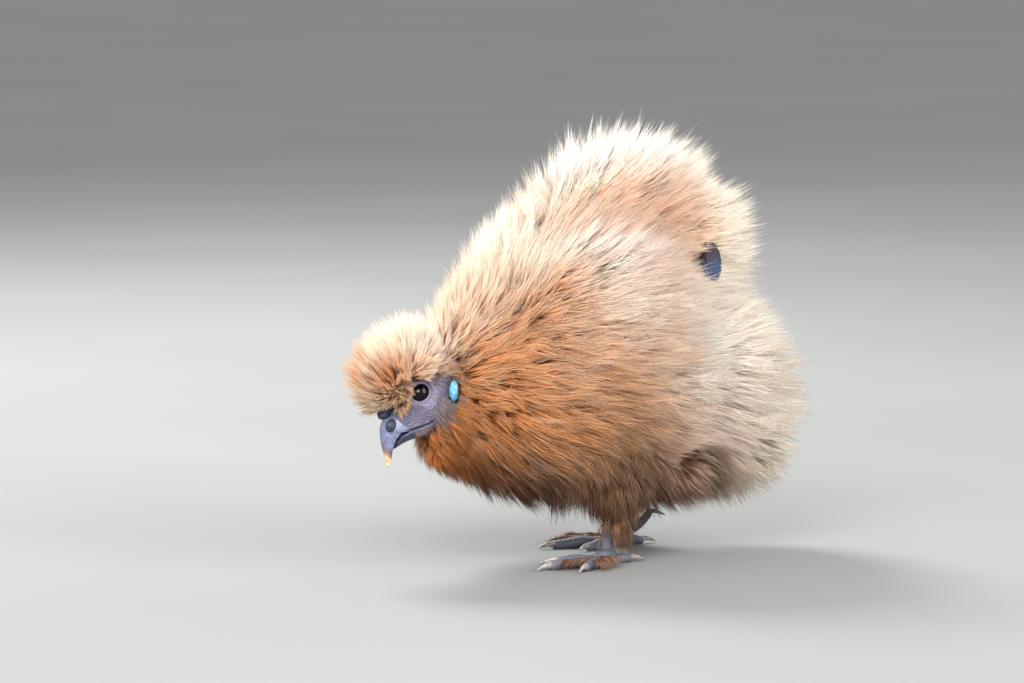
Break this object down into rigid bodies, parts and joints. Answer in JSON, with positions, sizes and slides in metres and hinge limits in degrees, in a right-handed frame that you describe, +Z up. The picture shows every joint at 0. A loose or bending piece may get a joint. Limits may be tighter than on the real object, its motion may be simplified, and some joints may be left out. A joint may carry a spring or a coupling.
{
  "type": "silkie chicken",
  "caption": "Life-size still model of a buff silkie hen standing with its head lowered, with crest, turquoise earlobes, fluffy silky plumage and feathered feet with an extra toe.",
  "frame": {"origin": "middle of the bird's outline on the floor, under its body", "axes": "+Z up, -X the way the bird faces, -Y its left side"},
  "size_m": [0.2514, 0.1498, 0.219],
  "materials": {
    "face_skin": "matt slate-mauve bare skin",
    "beak": "satin slate-blue horn",
    "comb": "matt dark mulberry-slate skin",
    "earlobe": "turquoise bare skin",
    "eye": "wet dark gloss",
    "buff_plumage": "soft silky plumage, buff to orange-brown",
    "cream_plumage": "soft silky plumage, cream to pale peach",
    "leg_skin": "slate scaled skin",
    "claw": "satin grey horn"
  },
  "bodies": {
    "root": {"head": "face_skin", "beak_upper": "beak", "beak_lower": "beak", "comb": "comb", "crest": "cream_plumage", "neck": "buff_plumage", "torso": "buff_plumage", "eye_left": "eye", "eye_right": "eye", "earlobe_left": "earlobe", "earlobe_right": "earlobe", "wattle_left": "comb", "wattle_right": "comb", "wing_left": "cream_plumage", "wing_right": "cream_plumage", "cushion": "cream_plumage", "tail": "cream_plumage", "fluff": "cream_plumage", "thigh_left": "buff_plumage", "thigh_right": "buff_plumage", "shank_left": "leg_skin", "shank_right": "leg_skin", "foot_left": "leg_skin", "foot_right": "leg_skin", "claw_inner_left": "claw", "claw_middle_left": "claw", "claw_outer_left": "claw", "claw_hind_left": "claw", "claw_fifth_left": "claw", "claw_inner_right": "claw", "claw_middle_right": "claw", "claw_outer_right": "claw", "claw_hind_right": "claw", "claw_fifth_right": "claw"}
  },
  "joints": []
}
